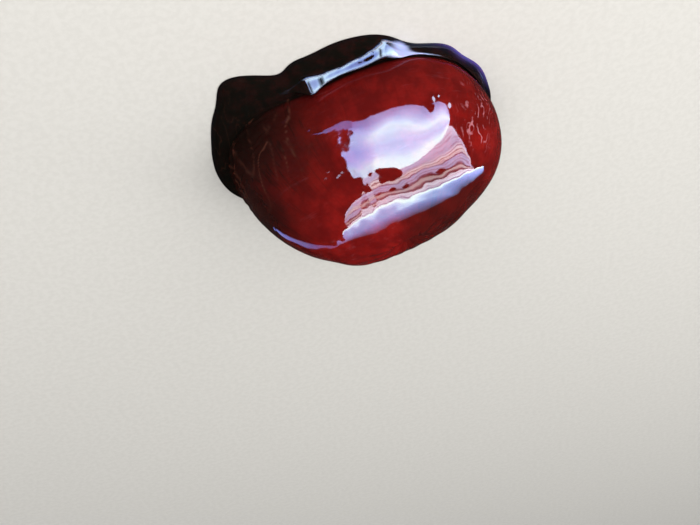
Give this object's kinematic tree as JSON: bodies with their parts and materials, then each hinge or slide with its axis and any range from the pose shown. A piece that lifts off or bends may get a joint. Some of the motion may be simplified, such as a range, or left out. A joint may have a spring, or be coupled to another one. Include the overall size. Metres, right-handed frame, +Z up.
{
  "type": "beadlet anemone",
  "caption": "Closed beadlet anemone at low tide: a glossy dark red dome on a flat foot, with a dark wavy skirt, a blue line round its edge and a puckered crown.",
  "frame": {"origin": "middle of the whole animal's box, on the plane of its flat sole", "axes": "+Z up from the sole, +X along the foot's long way towards its broad lobe, +Y towards the side that the crown leans to"},
  "size_m": [0.0526, 0.0422, 0.028],
  "materials": {
    "sole": "damp, smooth",
    "blue_line": "wet gloss",
    "dark_skirt": "wet gloss over fine wrinkles",
    "wrinkled_wall": "wet gloss over folds",
    "red_skin": "wet gloss, like varnish",
    "crown_skin": "wet gloss in puckers"
  },
  "bodies": {
    "root": {"pedal_disc": "sole", "blue_rim": "blue_line", "limbus": "dark_skirt", "column_foot": "wrinkled_wall", "column_wall": "red_skin", "column_shoulder": "red_skin", "collar": "red_skin", "closed_crown": "crown_skin"}
  },
  "joints": []
}
